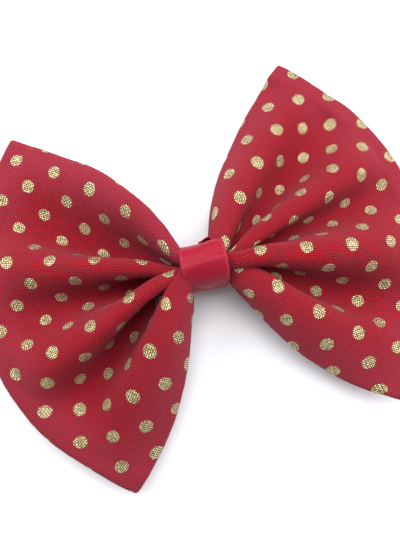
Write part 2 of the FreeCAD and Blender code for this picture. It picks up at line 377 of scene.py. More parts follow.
def tube(name, lines, radius, material, roundness=4):
    """Round wire or thread along lists of points, as one mesh."""
    data = bpy.data.curves.new(name, "CURVE")
    data.dimensions = "3D"
    data.bevel_depth = radius * MM
    data.bevel_resolution = roundness
    data.use_fill_caps = True
    for line in lines:
        spline = data.splines.new("POLY")
        spline.points.add(len(line) - 1)
        for point, place in zip(spline.points, line):
            point.co = (*[c * MM for c in place], 1.0)
    shaped = bpy.data.objects.new(name + "_line", data)
    bpy.context.scene.collection.objects.link(shaped)
    bpy.context.view_layer.update()
    evaluated = shaped.evaluated_get(bpy.context.evaluated_depsgraph_get())
    mesh = bpy.data.meshes.new_from_object(evaluated)
    bpy.data.objects.remove(shaped)
    bpy.data.curves.remove(data)
    mesh.name = name
    mesh.materials.clear()
    mesh.materials.append(material)
    mesh.polygons.foreach_set("use_smooth", [True] * len(mesh.polygons))
    piece = bpy.data.objects.new(name, mesh)
    bpy.context.scene.collection.objects.link(piece)
    return piece


# ---------------------------------------------------------------------------
# Materials
# ---------------------------------------------------------------------------
class Recipe:
    """A node material, with short ways to add its nodes."""

    def __init__(self, name):
        self.material = bpy.data.materials.new(name)
        self.material.use_nodes = True
        self.tree = self.material.node_tree
        self.shader = self.tree.nodes["Principled BSDF"]

    def node(self, kind, inputs=(), **settings):
        made = self.tree.nodes.new("ShaderNode" + kind)
        for key, value in settings.items():
            setattr(made, key, value)
        for key, value in dict(inputs).items():
            self.feed(made.inputs[key], value)
        return made

    def feed(self, socket, value):
        if isinstance(value, bpy.types.NodeSocket):
            self.tree.links.new(value, socket)
        else:
            socket.default_value = value

    def calc(self, operation, *values, clamp=False):
        """A sum: one Math node fed with sockets or numbers."""
        made = self.tree.nodes.new("ShaderNodeMath")
        made.operation = operation
        made.use_clamp = clamp
        for socket, value in zip(made.inputs, values):
            self.feed(socket, value)
        return made.outputs[0]

    def step(self, value, low, high):
        """0 below low, 1 above high, smooth between."""
        made = self.node("MapRange", {"Value": value, "From Min": low, "From Max": high})
        made.interpolation_type = "SMOOTHSTEP"
        return made.outputs["Result"]

    def blend(self, share, a, b):
        """Colour a where share is 0 and colour b where it is 1."""
        made = self.node("Mix", data_type="RGBA")
        self.feed(made.inputs["Factor"], share)
        colours = [s for s in made.inputs if s.type == "RGBA"]
        self.feed(colours[0], a)
        self.feed(colours[1], b)
        return [s for s in made.outputs if s.type == "RGBA"][0]

    def noise(self, vector, scale, detail=2.0, roughness=0.5):
        return self.node(
            "TexNoise", {"Vector": vector, "Scale": scale, "Detail": detail, "Roughness": roughness}
        ).outputs["Fac"]

    def chance_1d(self, value):
        """A random value from 0 to 1 for each value."""
        return self.node("TexWhiteNoise", {"W": value}, noise_dimensions="1D").outputs["Value"]

    def chance_2d(self, x, y):
        """A random value from 0 to 1 for each pair x, y."""
        pair = self.node("CombineXYZ", {"X": x, "Y": y}).outputs[0]
        return self.node("TexWhiteNoise", {"Vector": pair}, noise_dimensions="2D").outputs["Value"]

    def stretched(self, vector, scale, rotation=(0, 0, 0)):
        """The vector scaled differently along each axis, for noise that is drawn out."""
        return self.node("Mapping", {"Vector": vector, "Scale": scale, "Rotation": rotation}).outputs[0]

    def bump(self, height, distance, strength=1.0):
        """A surface normal from a relief whose full height is distance, in millimetres."""
        made = self.node("Bump", {"Height": height, "Distance": distance * MM, "Strength": strength})
        return made.outputs["Normal"]

    def finish(self, **inputs):
        """Feed the shader's sockets, whose names have underscores for spaces here."""
        for key, value in inputs.items():
            self.feed(self.shader.inputs[key.replace("_", " ")], value)
        return self.material

    def flat_place(self):
        """The place on the flat cloth in millimetres, as a vector, U and V."""
        place = self.node("UVMap", uv_map="flat").outputs["UV"]
        split = self.node("SeparateXYZ", {"Vector": place})
        return place, split.outputs["X"], split.outputs["Y"]


THREAD_PITCH = 0.43          # one thread's width; the weave repeats every two
DOT_SPACING = 10.0           # the print's repeat along U and along V
DOT_RADIUS = 1.38
FIRST_DOT = (1.5, 40.75)     # where one dot lies on the flat cloth
EDGE_SHEEN_WIDTH = 16.0            # how far in from its edges the cloth has painted sheen


def weave(r, u, v, pitch):
    """Plain weave, as five values from 0 to 1 at each place on the cloth.

    They are its height, how far the place is from a gap, whether the thread along V lies on top,
    a random value for each crossing, and a random tone for the thread on top.
    """
    su = r.calc("SINE", r.calc("MULTIPLY", u, math.pi / pitch))
    sv = r.calc("SINE", r.calc("MULTIPLY", v, math.pi / pitch))
    over = r.step(r.calc("MULTIPLY", su, sv), -0.3, 0.3)
    warp = r.calc("ABSOLUTE", su)
    weft = r.calc("ABSOLUTE", sv)
    under = r.calc("SUBTRACT", 1.0, over)
    height = r.calc("ADD", r.calc("MULTIPLY", warp, over), r.calc("MULTIPLY", weft, under))
    gap = r.step(r.calc("MULTIPLY", warp, weft), 0.08, 0.90)
    cell_u = r.calc("FLOOR", r.calc("DIVIDE", u, pitch))
    cell_v = r.calc("FLOOR", r.calc("DIVIDE", v, pitch))
    crossing_tone = r.chance_2d(cell_u, cell_v)
    warp_tone = r.chance_1d(cell_u)
    weft_tone = r.chance_1d(r.calc("ADD", cell_v, 0.5))
    warp_share, weft_share = r.calc("MULTIPLY", over, warp_tone), r.calc("MULTIPLY", under, weft_tone)
    thread_tone = r.calc("ADD", warp_share, weft_share)
    return height, gap, over, crossing_tone, thread_tone


def edge_nearness(r, u, v):
    """0 over most of the cloth, rising to 1 at its edge."""
    along = r.step(r.calc("ABSOLUTE", u), HALF_LENGTH - EDGE_SHEEN_WIDTH, HALF_LENGTH)
    across = r.step(r.calc("ABSOLUTE", v), HALF_HEIGHT - EDGE_SHEEN_WIDTH, HALF_HEIGHT)
    return r.calc("MAXIMUM", along, across)


def printed_dots(r, place, u, v):
    """1 inside the round dots of the print and 0 outside, on a half-drop repeat.

    That repeat is a square one turned by 45 degrees, which a and b count.
    """
    du = r.calc("SUBTRACT", u, FIRST_DOT[0])
    dv = r.calc("SUBTRACT", v, FIRST_DOT[1])
    a = r.calc("DIVIDE", r.calc("ADD", du, dv), DOT_SPACING)
    b = r.calc("DIVIDE", r.calc("SUBTRACT", du, dv), DOT_SPACING)
    cell_a, cell_b = r.calc("ROUND", a), r.calc("ROUND", b)
    fa, fb = r.calc("SUBTRACT", a, cell_a), r.calc("SUBTRACT", b, cell_b)
    reach = r.calc("SQRT", r.calc("ADD", r.calc("MULTIPLY", fa, fa), r.calc("MULTIPLY", fb, fb)))
    reach = r.calc("MULTIPLY", reach, DOT_SPACING / math.sqrt(2))
    ragged = r.calc("MULTIPLY", r.calc("SUBTRACT", r.noise(place, 4.5, 2, 0.6), 0.5), 0.32)
    size = r.calc("ADD", DOT_RADIUS - 0.06, r.calc("MULTIPLY", r.chance_2d(cell_a, cell_b), 0.14))
    inside = r.calc("SUBTRACT", size, r.calc("ADD", reach, ragged))
    return r.step(inside, -0.06, 0.06)


def printed_cotton(name):
    """Red plain-weave cotton, paler towards its edges with painted sheen, with worn gold foil dots
    printed on it.
    """
    r = Recipe(name)
    place, u, v = r.flat_place()
    sway = r.calc("MULTIPLY", r.calc("SUBTRACT", r.noise(place, 0.35, 3), 0.5), 0.5)
    swayed_u, swayed_v = r.calc("ADD", u, sway), r.calc("ADD", v, sway)
    height, gap, over, crossing_tone, thread_tone = weave(r, swayed_u, swayed_v, THREAD_PITCH)

    # Foil holds on the tops of the threads and is worn off in places
    dot = printed_dots(r, place, u, v)
    worn = r.step(r.noise(place, 3.4, 4, 0.65), 0.3, 0.46)
    foil = r.calc("MULTIPLY", dot, r.calc("MULTIPLY", r.step(gap, 0.10, 0.45), worn), clamp=True)

    # Red cloth: a little uneven from thread to thread and over larger patches
    slub = r.noise(r.stretched(place, (0.5, 4.0, 1)), 1.0, 2)
    patch = r.noise(place, 0.09, 3)
    # Painted shade: the red goes near black in the gaps between the threads
    red = r.blend(gap, (0.020, 0.001, 0.002, 1), (0.64, 0.011, 0.026, 1))
    red = r.blend(r.calc("MULTIPLY", crossing_tone, 0.45), red, (0.14, 0.002, 0.008, 1))
    red = r.blend(r.calc("MULTIPLY", thread_tone, 0.42), red, (0.12, 0.002, 0.006, 1))
    red = r.blend(r.calc("MULTIPLY", over, 0.46), red, (0.08, 0.001, 0.005, 1))
    # Painted sheen: the red pales to a pinkish tone towards the cloth's edges
    edge_sheen = r.step(edge_nearness(r, u, v), 0.0, 1.0)
    red = r.blend(r.calc("MULTIPLY", edge_sheen, 0.20), red, (0.32, 0.075, 0.12, 1))
    red = r.blend(r.calc("MULTIPLY", slub, 0.35), red, (0.40, 0.012, 0.028, 1))
    red = r.blend(r.calc("MULTIPLY", patch, 0.25), red, (0.20, 0.003, 0.014, 1))
    under = r.blend(dot, red, (0.09, 0.03, 0.012, 1))
    # Painted glints and shade on the foil: at random from crossing to crossing, and darker where the
    # thread along V lies on top, it goes from a pale glint colour to a dark shaded brown
    glint_to_shade = r.calc("ADD", r.calc("MULTIPLY", crossing_tone, 0.65), r.calc("MULTIPLY", over, 0.22))
    gold = r.blend(glint_to_shade, (1.0, 0.93, 0.55, 1), (0.26, 0.19, 0.06, 1))
    colour = r.blend(foil, under, gold)
    rough = r.calc("SUBTRACT", 0.82, r.calc("MULTIPLY", foil, 0.40))
    fuzz = r.noise(place, 9.0, 2)
    relief = r.calc("ADD", height, r.calc("MULTIPLY", fuzz, 0.35))
    relief = r.calc("ADD", relief, r.calc("MULTIPLY", foil, 0.25))
    return r.finish(
        Base_Color=colour, Roughness=rough, Metallic=r.calc("MULTIPLY", foil, 0.9),
        Normal=r.bump(relief, 0.12, 1.0), Specular_IOR_Level=0.14,
        Sheen_Weight=0.08, Sheen_Roughness=0.5, Sheen_Tint=(1.0, 0.55, 0.65, 1),
    )


RIB_PITCH = 0.42             # the ribbon's cross threads
PICOT_PITCH = 0.55           # the small loops along its woven side edges


def satin(name):
    """Satin ribbon: fine lines along its length, a smooth glossy face and woven side edges."""
    r = Recipe(name)
    place, across, along = r.flat_place()
    lines = r.noise(r.stretched(place, (9.0, 0.6, 1)), 1.0, 2)
    ribs = r.calc("SINE", r.calc("MULTIPLY", along, 2 * math.pi / RIB_PITCH))
    grain = r.noise(r.stretched(place, (1.6, 4.5, 1)), 1.0, 3, 0.65)
    side = r.step(r.calc("ABSOLUTE", across), 3.5, 4.5)
    picot = r.calc("SINE", r.calc("MULTIPLY", along, 2 * math.pi / PICOT_PITCH))
    uneven = r.calc("MULTIPLY", r.noise(place, 3.0, 3), 1.5)
    picot = r.calc("MULTIPLY", side, r.calc("ADD", picot, uneven))
    speck = r.step(r.calc("MULTIPLY", side, r.noise(place, 3.2, 3, 0.7)), 0.45, 0.62)
    pale = r.calc("MULTIPLY", r.step(grain, 0.35, 0.70), 0.45)
    colour = r.blend(lines, (0.19, 0.004, 0.014, 1), (0.28, 0.009, 0.026, 1))
    colour = r.blend(pale, colour, (0.36, 0.016, 0.040, 1))
    colour = r.blend(r.calc("MULTIPLY", speck, 0.3), colour, (0.80, 0.10, 0.18, 1))
    relief = r.calc("ADD", r.calc("MULTIPLY", lines, 0.6), r.calc("MULTIPLY", ribs, 0.18))
    relief = r.calc("ADD", relief, r.calc("MULTIPLY", grain, 0.9))
    relief = r.calc("ADD", relief, r.calc("MULTIPLY", picot, 0.8))
    rough = r.calc("ADD", 0.26, r.calc("MULTIPLY", lines, 0.12))
    rough = r.calc("ADD", rough, r.calc("MULTIPLY", grain, 0.12))
    return r.finish(
        Base_Color=colour, Roughness=rough, Normal=r.bump(relief, 0.03, 0.7),
        Anisotropic=0.6, Specular_IOR_Level=0.11,
    )


def thread(name):
    """Spun thread: a tight twist in two tones."""
    r = Recipe(name)
    place = r.node("TexCoord").outputs["Object"]
    wave = {"Vector": place, "Scale": 1800.0, "Distortion": 1.5, "Detail": 1.0}
    twist = r.node("TexWave", wave, bands_direction="DIAGONAL").outputs["Fac"]
    fuzz = r.noise(place, 9000.0, 3)
    colour = r.blend(twist, (0.30, 0.006, 0.02, 1), (0.56, 0.02, 0.05, 1))
    relief = r.calc("ADD", twist, r.calc("MULTIPLY", fuzz, 0.5))
    return r.finish(
        Base_Color=colour, Roughness=r.calc("ADD", 0.6, r.calc("MULTIPLY", fuzz, 0.2)),
        Normal=r.bump(relief, 0.04, 0.8), Sheen_Weight=0.3, Sheen_Roughness=0.5,
    )


def lining(name):
    """Non-woven interfacing: matted off-white fibres with pressed dots of adhesive."""
    r = Recipe(name)
    place = r.flat_place()[0]
    fibres = r.noise(r.stretched(place, (0.6, 5.0, 1), (0, 0, 0.5)), 1.0, 5, 0.7)
    cells = r.node("TexVoronoi", {"Vector": place, "Scale": 0.9, "Randomness": 0.3}).outputs["Distance"]
    pressed = r.step(cells, 0.12, 0.28)
    colour = r.blend(fibres, (0.70, 0.69, 0.66, 1), (0.90, 0.89, 0.86, 1))
    relief = r.calc("ADD", fibres, r.calc("MULTIPLY", pressed, 0.6))
    return r.finish(
        Base_Color=colour, Roughness=r.calc("SUBTRACT", 0.95, r.calc("MULTIPLY", pressed, 0.12)),
        Normal=r.bump(relief, 0.05, 0.7), Sheen_Weight=0.2,
    )


def set_glue(name):
    """Hot-melt glue, milky and glossy, with a slightly rippled skin."""
    r = Recipe(name)
    place = r.node("TexCoord").outputs["Object"]
    ripple = r.noise(place, 420.0, 3)
    cloud = r.noise(place, 900.0, 4, 0.6)
    colour = r.blend(cloud, (0.80, 0.76, 0.64, 1), (0.90, 0.88, 0.80, 1))
    return r.finish(
        Base_Color=colour, Roughness=r.calc("ADD", 0.18, r.calc("MULTIPLY", cloud, 0.18)),
        Normal=r.bump(ripple, 0.25, 0.6), Subsurface_Weight=0.25, Coat_Weight=0.3, Coat_Roughness=0.12,
    )


def plated_steel(name):
    """Nickel plate over rolled strip: faint brushing, fine scratches and a few dull spots."""
    r = Recipe(name)
    place = r.node("TexCoord").outputs["Object"]
    brushed = r.noise(r.stretched(place, (160.0, 5200.0, 5200.0)), 1.0, 3, 0.6)
    scuffs = r.noise(r.stretched(place, (300.0, 7000.0, 900.0), (0, 0, 0.7)), 1.0, 2)
    marks = r.step(scuffs, 0.66, 0.72)
    dull = r.step(r.noise(place, 260.0, 4, 0.6), 0.52, 0.72)
    colour = r.blend(dull, (0.80, 0.79, 0.77, 1), (0.66, 0.64, 0.61, 1))
    rough = r.calc("ADD", 0.16, r.calc("MULTIPLY", brushed, 0.14))
    worn = r.calc("ADD", r.calc("MULTIPLY", dull, 0.12), r.calc("MULTIPLY", marks, 0.15))
    rough = r.calc("ADD", rough, worn)
    relief = r.calc("ADD", r.calc("MULTIPLY", brushed, 0.4), r.calc("MULTIPLY", marks, -0.6))
    return r.finish(Base_Color=colour, Roughness=rough, Metallic=1.0, Normal=r.bump(relief, 0.012, 0.5))


def spring_steel(name):
    """Drawn wire: darker, with lines along it and a trace of oil."""
    r = Recipe(name)
    place = r.node("TexCoord").outputs["Object"]
    drawn = r.noise(place, 2600.0, 4, 0.65)
    stain = r.step(r.noise(place, 600.0, 3), 0.5, 0.75)
    colour = r.blend(stain, (0.52, 0.52, 0.53, 1), (0.34, 0.31, 0.28, 1))
    rough = r.calc("ADD", 0.26, r.calc("MULTIPLY", drawn, 0.22))
    return r.finish(Base_Color=colour, Roughness=rough, Metallic=1.0, Normal=r.bump(drawn, 0.01, 0.5))


# ---------------------------------------------------------------------------
# Cloth panels and lining
# ---------------------------------------------------------------------------
COTTON = printed_cotton("printed_cotton")
SATIN = satin("satin_ribbon")
THREAD = thread("red_thread")
STEEL = plated_steel("plated_steel")


def edge_profile(u, v):
    """0 at the cloth's edge, rising round to 1 over the rolled edge."""
    t = np.clip(edge_distance(u, v) / EDGE_ROLL, 0, 1)
    return np.sqrt(1 - (1 - t) ** 2)


def panel(name, side):
    """The front or back panel: one layer of cotton that rounds in to the seam at its edge."""
    u, v = flat_grid()
    points, normals = cloth_faces(u, v)
    roll = edge_profile(u, v)[..., None]
    outer = points + normals * side * (RIM_OUT + (PANEL_OUT - RIM_OUT) * roll)
    inner = points + normals * side * (RIM_IN + (PANEL_IN - RIM_IN) * roll)
    flat = np.stack([u, v], axis=-1)
    front, back = (outer, inner) if side > 0 else (inner, outer)
    return closed_sheet(name, front, back, flat, COTTON)


def lining_sheet():
    """The stiffener between the panels, cut smaller all round."""
    u, v = flat_grid(LINING_INSET)
    points, normals = cloth_faces(u, v)
    front, back = points + normals * LINING_HALF, points - normals * LINING_HALF
    flat = np.stack([u, v], axis=-1)
    return closed_sheet("interfacing_sheet", front, back, flat, lining("interfacing"))


front_cloth = panel("front_cloth", 1)
back_cloth = panel("back_cloth", -1)
interfacing_sheet = lining_sheet()

# ---------------------------------------------------------------------------
# Seam thread: a running stitch 1 mm inside the edge, between the panels
# ---------------------------------------------------------------------------
SEAM_INSET = 1.0
STITCH_LENGTH = 1.6
STITCH_GAP = 0.7
SEAM_RADIUS = 0.1
SEAM_START = 6.0             # how far out of the knot it starts
SEAM_STEP = 0.4              # between the points of its route


def seam_route(side):
    """Flat places along the seam round one wing, from the lower waist round to the upper."""
    far, high, near = HALF_LENGTH - SEAM_INSET, HALF_HEIGHT - SEAM_INSET, WAIST + SEAM_START
    corner = CORNER_ROUND
    legs = [
        ((near, -high), (far - corner, -high)),
        ((far, -high + corner), (far, high - corner)),
        ((far - corner, high), (near, high)),
    ]
    places = []
    for start, end in legs:
        count = max(2, round(math.dist(start, end) / SEAM_STEP))
        for k in range(count + 1):
            places.append([lerp(a, b, k / count) for a, b in zip(start, end)])
    return np.array(places) * (side, 1)


def seam_stitches():
    """Short lengths of thread one after another along both routes, in the middle surface."""
    stitches = []
    for side in (-1, 1):
        route = seam_route(side)
        line = cloth_faces(route[:, 0], route[:, 1])[0]
        run = np.concatenate([[0], np.cumsum(np.linalg.norm(np.diff(line, axis=0), axis=1))])
        place = 0.0
        while place + STITCH_LENGTH < run[-1]:
            at = np.linspace(place, place + STITCH_LENGTH, 5)
            stitches.append(np.stack([np.interp(at, run, line[:, k]) for k in range(3)], axis=1))
            place += STITCH_LENGTH + STITCH_GAP
    return tube("edge_seam_stitches", stitches, SEAM_RADIUS, THREAD, roundness=1)


edge_seam_stitches = seam_stitches()

# ---------------------------------------------------------------------------
# Centre ribbon
# ---------------------------------------------------------------------------
RIBBON_HALF = 4.9
RIBBON_THICK = 0.34
RIBBON_TURN = math.radians(-6.0)          # it sits a little askew on the bow
RIBBON_SHIFT_X = -0.6
BACK_Z = 6.0                 # over this height the wrap has its full turn and shift
LOOP_FOLD_X = 0.9            # where a small fold stands off the ribbon's upper side
BUNCHED_EDGE = 2.4           # where the right-hand edge runs on the upper side, bunched up behind
FOLD_START_X, FOLD_END_X = -0.2, 2.6
FOLD_TOP_Z, FOLD_LOW_Z = 13.6, 10.4
FOLD_RISE = 0.75             # how far the pocket fold stands off
FOLD_THICK = 0.26
LAP_HALF = 4.7
LAP_START_Y, LAP_END_Y = -3.1, 3.0
LAP_TOP_Z = 3.62             # the lapped end's upper face; under this the wrap is straight
LAP_THICK = 0.30
LAP_ROUND = 0.25             # width of its rounded rim
LOOP_POINTS = 300
WIDTH_POINTS = 57
FINE_POINTS = 4001           # points that a section is measured on
SMOOTHINGS = 12              # passes that soften its corners


def knot_section(grow=0.0, count=LOOP_POINTS):
    """The ribbon's inner line in (y, z), its outward normals and the distance run along it.

    It goes round from the side at the bow's lower edge by way of the back, and grow moves the
    line outwards.
    """
    fine = np.linspace(-math.pi, math.pi, FINE_POINTS)
    c, s = np.cos(fine), np.sin(fine)
    power = np.where(s < 0, BACK, np.where(c > 0, FRONT_UPPER, FRONT_LOWER))
    reach = (np.abs(c) ** power + np.abs(s) ** power) ** (-1 / power)
    half_y = lerp(KNOT_HALF_Y, KNOT_BACK_Y, smooth(-s, 0.2, 0.8))
    y, z = half_y * reach * c, KNOT_Z + KNOT_HALF_Z * reach * s
    run = np.concatenate([[0], np.cumsum(np.hypot(np.diff(y), np.diff(z)))])
    at = np.linspace(0, run[-1], count + 1)[:-1]
    loop = np.stack([np.interp(at, run, y), np.interp(at, run, z)], axis=1)
    for _ in range(SMOOTHINGS):
        loop = (np.roll(loop, 1, axis=0) + 2 * loop + np.roll(loop, -1, axis=0)) / 4
    ahead = np.roll(loop, -1, axis=0) - np.roll(loop, 1, axis=0)
    ahead /= np.linalg.norm(ahead, axis=1, keepdims=True)
    out = np.stack([ahead[:, 1], -ahead[:, 0]], axis=1)
    return loop + out * grow, out, at


FULL_LIFT = 0.30             # the upper side stands out right of the fold
DRAWN_LIFT = 0.25            # and is drawn in left of it
NOTCH_LIFT, NOTCH_ANGLE, NOTCH_SPREAD = 0.35, 32, 9        # a dip round the fold's foot
DENT_LIFT, DENT_X, DENT_Y = 0.16, -3.6, 2.4                # a dent beside the left edge
CREST_LIFT, CREST_Y, CREST_WIDTH = 0.24, -0.5, 0.95        # a soft ridge along the front
CREST_SLANT = 0.12
RIPPLE_LIFT = 0.10
FINE_RIPPLE_LIFT = 0.04


def ribbon_lift(x, y, z):
    """How far the wrap stands off its plain path."""
    around = np.degrees(np.arctan2((z - KNOT_Z) / KNOT_HALF_Z, y / KNOT_HALF_Y))
    upper = smooth(y, 1.5, 3.6) * smooth(z, 7.0, 12.0)
    lift = FULL_LIFT * upper * smooth(x, LOOP_FOLD_X - 0.6, LOOP_FOLD_X + 0.8)
    lift -= DRAWN_LIFT * upper * (1 - smooth(x, LOOP_FOLD_X - 1.6, LOOP_FOLD_X - 0.4))
    notch = np.exp(-(x - LOOP_FOLD_X) ** 2 - ((around - NOTCH_ANGLE) / NOTCH_SPREAD) ** 2)
    front = smooth(z, KNOT_Z + 3, KNOT_Z + 5)
    slant = 0.5 * (y - 2.6)
    dent = np.exp(-((x - DENT_X - slant) / 1.2) ** 2 - ((y - DENT_Y) / 0.9) ** 2)
    crest = np.exp(-((y - CREST_Y - CREST_SLANT * x) / CREST_WIDTH) ** 2)
    lift += front * (CREST_LIFT * crest - DENT_LIFT * dent) - NOTCH_LIFT * notch
    lift += value_noise(x / 2.6 + 20, (y + z) / 3.4 + 20, 21) * RIPPLE_LIFT
    lift += value_noise(x / 5.0 + 30, (y - z) / 1.6 + 10, 24) * FINE_RIPPLE_LIFT
    return lift


def turned(points):
    """Points moved from the straight knot to the real one: shifted and turned, but not at its back."""
    share = smooth(points[..., 2], LAP_TOP_Z, BACK_Z)
    c, s = np.cos(RIBBON_TURN * share), np.sin(RIBBON_TURN * share)
    x, y, z = points[..., 0], points[..., 1], points[..., 2]
    turned_x = c * x - s * y + RIBBON_SHIFT_X * share
    turned_y = s * x + c * y + KNOT_SHIFT_Y * share
    return np.stack([turned_x, turned_y, z], axis=-1)


def side_noise(share, along, offset, seed):
    """Noise along the ribbon that is its own on each side edge."""
    return value_noise(np.sign(share) * offset[0] + offset[1], along, seed)


def wrap_piece():
    """The ribbon round the knot: a closed band, its outer shell first and its inner one after."""
    loop, out, run = knot_section()
    share, k = np.meshgrid(np.linspace(-1, 1, WIDTH_POINTS), np.arange(len(loop)), indexing="ij")
    yy, zz = loop[k, 0], loop[k, 1]
    bunched = smooth(yy, 2.6, 4.2) * (1 - smooth(zz, 11.5, 14.5)) * smooth(zz, 3.9, 6.5)
    right = lerp(RIBBON_HALF, BUNCHED_EDGE, bunched)
    ripple = side_noise(share, run[k] / 0.9, (3, 5), 23) * 0.08 * smooth(np.abs(share), 0.85, 1)
    xx = np.where(share > 0, share * right, share * RIBBON_HALF) + ripple
    lift = ribbon_lift(xx, yy, zz)
    edge = smooth(np.abs(share), 0.80, 1.0)
    lift -= 0.12 * edge
    lift += side_noise(share, run[k] / 0.8 + 30, (7, 9), 22) * 0.05 * edge
    thick = RIBBON_THICK * np.sqrt(1 - 0.85 * smooth(np.abs(share), 0.93, 1.0))
    shells = []
    for total in (lift + thick, lift):
        shell = np.stack([xx, yy + out[k, 0] * total, zz + out[k, 1] * total], axis=-1)
        shells.append(turned(shell))
    rows, columns = xx.shape
    count = xx.size
    points = np.concatenate([shell.reshape(-1, 3) for shell in shells])
    flat = np.stack([share * RIBBON_HALF, run[k]], axis=-1).reshape(-1, 2)
    faces = []
    for i in range(rows - 1):
        for j in range(columns):
            a, b = i * columns + j, i * columns + (j + 1) % columns
            c, d = b + columns, a + columns
            faces.append((a, d, c, b))
            faces.append((a + count, b + count, c + count, d + count))
    for i, order in ((0, 1), (rows - 1, -1)):
        for j in range(columns):
            a, b = i * columns + j, i * columns + (j + 1) % columns
            faces.append((a, b, b + count, a + count)[::order])
    return make_mesh("ribbon_wrap", points, faces, SATIN, np.concatenate([flat, flat]))


def fold_piece():
    """A small fold of the ribbon that stands off its upper side and leaves a narrow open pocket."""
    share, drop = np.meshgrid(np.linspace(0, 1, 41), np.linspace(0, 1, 21), indexing="ij")
    x = lerp(FOLD_START_X, FOLD_END_X, share)
    z = lerp(FOLD_TOP_Z - 0.5 * (1 - share), FOLD_LOW_Z, drop)
    y = KNOT_HALF_Y * (1 - np.abs((z - KNOT_Z) / KNOT_HALF_Z) ** FRONT_UPPER) ** (1 / FRONT_UPPER)
    opening = smooth(share, 0, 0.75) * (1 - 0.6 * smooth(share, 0.8, 1.0))
    inner = y + RIBBON_THICK - 0.05 + FOLD_RISE * opening * smooth(1 - drop, 0, 0.6)
    outer = inner + FOLD_THICK
    flat = np.stack([x, z], axis=-1)
    shells = [turned(np.stack([x, side, z], axis=-1)) for side in (inner, outer)]
    return closed_sheet("ribbon_fold", shells[0], shells[1], flat, SATIN)


def lap_piece():
    """The ribbon's second end, lapped over the first at the back, with a folded-under edge."""
    share, step = np.meshgrid(np.linspace(-1, 1, 33), np.linspace(0, 1, 40), indexing="ij")
    y = lerp(LAP_START_Y, LAP_END_Y, step)
    x = share * LAP_HALF + side_noise(share, step * 9, (4, 8), 31) * 0.05
    wave = value_noise(x / 2.4 + 12, y / 1.8 + 12, 32) * 0.035
    rim = np.minimum((1 - np.abs(share)) * LAP_HALF, (1 - step) * (LAP_END_Y - LAP_START_Y))
    round_off = np.sqrt(1 - (1 - np.clip(rim / LAP_ROUND, 0, 1)) ** 2)
    top = np.full_like(x, LAP_TOP_Z)
    bottom = LAP_TOP_Z - LAP_THICK * (0.45 + 0.55 * round_off) + wave * round_off
    flat = np.stack([share * RIBBON_HALF, y], axis=-1)
    upper = np.stack([x, y, top], axis=-1)
    lower = np.stack([x, y, bottom], axis=-1)
    return closed_sheet("ribbon_lap", upper, lower, flat, SATIN)


ribbon_wrap = wrap_piece()
ribbon_lap = lap_piece()
ribbon_fold = fold_piece()


GATHER_TURNS = 4
GATHER_PITCH = 0.55
GATHER_RADIUS = 0.18
GATHER_INSIDE = 0.25         # how far inside the ribbon's inner face it runs
GATHER_LOW_Z = 6.35          # its back, which stays clear of the clip


def gather_turns():
    """Thread drawn tight round the pleats, just inside the ribbon: one wound length."""
    loop = knot_section(-GATHER_INSIDE, 60)[0]
    loop[:, 1] = np.maximum(loop[:, 1], GATHER_LOW_Z)
    wound = []
    for k in range(GATHER_TURNS * len(loop) + 1):
        y, z = loop[k % len(loop)]
        x = (k / len(loop) - GATHER_TURNS / 2) * GATHER_PITCH
        wound.append((x, y + KNOT_SHIFT_Y, z))
    return tube("gather_thread_wound", [wound], GATHER_RADIUS, THREAD, roundness=2)


gather_thread_wound = gather_turns()

# ---------------------------------------------------------------------------
# Spring, stitches and the clip
# ---------------------------------------------------------------------------
pin_low, pin_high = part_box("clip_pin")
PIN = (pin_low + pin_high) / 2 / MM
WIRE = 0.22
COIL_RADIUS = 1.15
COIL_TURNS = 4.5
COIL_HALF = 1.5
LEG_END_X = 17.0
LEG_TIP = 3.0                # the last straight length of each leg
LEG_LOW_Z, LEG_HIGH_Z = 0.99, 4.31
STITCHES = 5                 # over the lapped ribbon end
STITCH_RISE = 0.24
STITCH_RADIUS = 0.11
BEVEL = 0.12                 # softens the edges of the pieces that keep their CAD shape


def spring_wire():
    """One wire: the lower leg, the coil round the pin, and the upper leg."""
    turns = np.linspace(0, COIL_TURNS, 150)
    angle = -math.pi / 2 - turns * 2 * math.pi
    coil = np.stack([
        PIN.x + COIL_RADIUS * np.cos(angle),
        lerp(-COIL_HALF, COIL_HALF, turns / COIL_TURNS),
        PIN.z + COIL_RADIUS * np.sin(angle),
    ], axis=1)
    bend_x = LEG_END_X - LEG_TIP
    lower = [(LEG_END_X, -COIL_HALF, LEG_LOW_Z), (bend_x, -COIL_HALF, LEG_LOW_Z + 0.05)]
    upper = [(bend_x, COIL_HALF, LEG_HIGH_Z - 0.12), (LEG_END_X, COIL_HALF, LEG_HIGH_Z)]
    return tube("spring_wire", [lower + coil.tolist() + upper], WIRE, spring_steel("spring_steel"))


spring = spring_wire()


def lap_stitches():
    """A row of short stitches over the lapped ribbon end, in the place of the CAD ones."""
    low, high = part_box("ribbon_stitches")
    low, high = low / MM, high / MM
    lines = []
    for k in range(STITCHES):
        x = lerp(low.x, high.x, (k + 0.5) / STITCHES)
        t = np.linspace(0, math.pi, 9)
        y = lerp(low.y, high.y, (1 - np.cos(t)) / 2)
        z = high.z + 0.05 - STITCH_RISE * np.sin(t)
        lines.append(np.stack([x + 0.08 * np.cos(t), y, z], axis=1))
    return tube("lap_stitches", lines, STITCH_RADIUS, THREAD, roundness=2)


stitches = lap_stitches()

CAD_LOOKS = {
    "glue_pad": set_glue("glue"),
    "clip_upper_arm": STEEL,
    "clip_lower_arm": STEEL,
    "clip_pin": STEEL,
}
for node, material in CAD_LOOKS.items():
    piece = frame["nodes"][node]
    piece.data.materials.clear()
    piece.data.materials.append(material)
    bevel = piece.modifiers.new("soft_edges", "BEVEL")
    bevel.width = BEVEL * MM
    bevel.segments = 2
    bevel.limit_method = "ANGLE"

